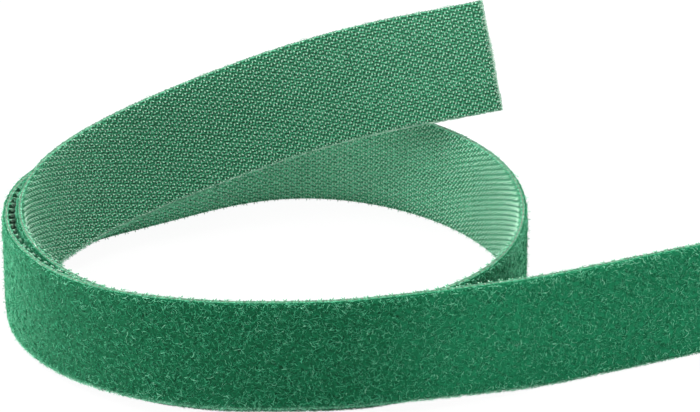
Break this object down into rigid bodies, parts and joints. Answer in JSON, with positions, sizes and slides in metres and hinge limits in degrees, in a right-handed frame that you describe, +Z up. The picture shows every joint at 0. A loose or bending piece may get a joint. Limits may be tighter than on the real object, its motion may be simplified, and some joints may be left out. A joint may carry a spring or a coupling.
{
  "type": "hook and loop tape",
  "caption": "Loose length of back-to-back hook and loop tape standing on its edge in an oval ring, hooks inside, one end straight and one end rising over it.",
  "frame": {"origin": "on the ground, under the middle of the whole tape's box", "axes": "+Z up across the tape's width, +X from the ring towards the straight tail, +Y from the front of the ring to its back"},
  "size_m": [0.1532, 0.0946, 0.0571],
  "materials": {
    "loop_pile": "brushed nylon loops, dull",
    "ground_weave": "tight nylon weave, slightly silky",
    "back_coat": "thin resin coat, satin",
    "bond_film": "milky adhesive film",
    "hook_filaments": "glossy nylon monofilament"
  },
  "bodies": {
    "root": {"loop_pile": "loop_pile", "loop_ground": "ground_weave", "loop_back_coat": "back_coat", "bond_film": "bond_film", "hook_back_coat": "back_coat", "hook_ground": "ground_weave", "hook_filaments": "hook_filaments"}
  },
  "joints": []
}
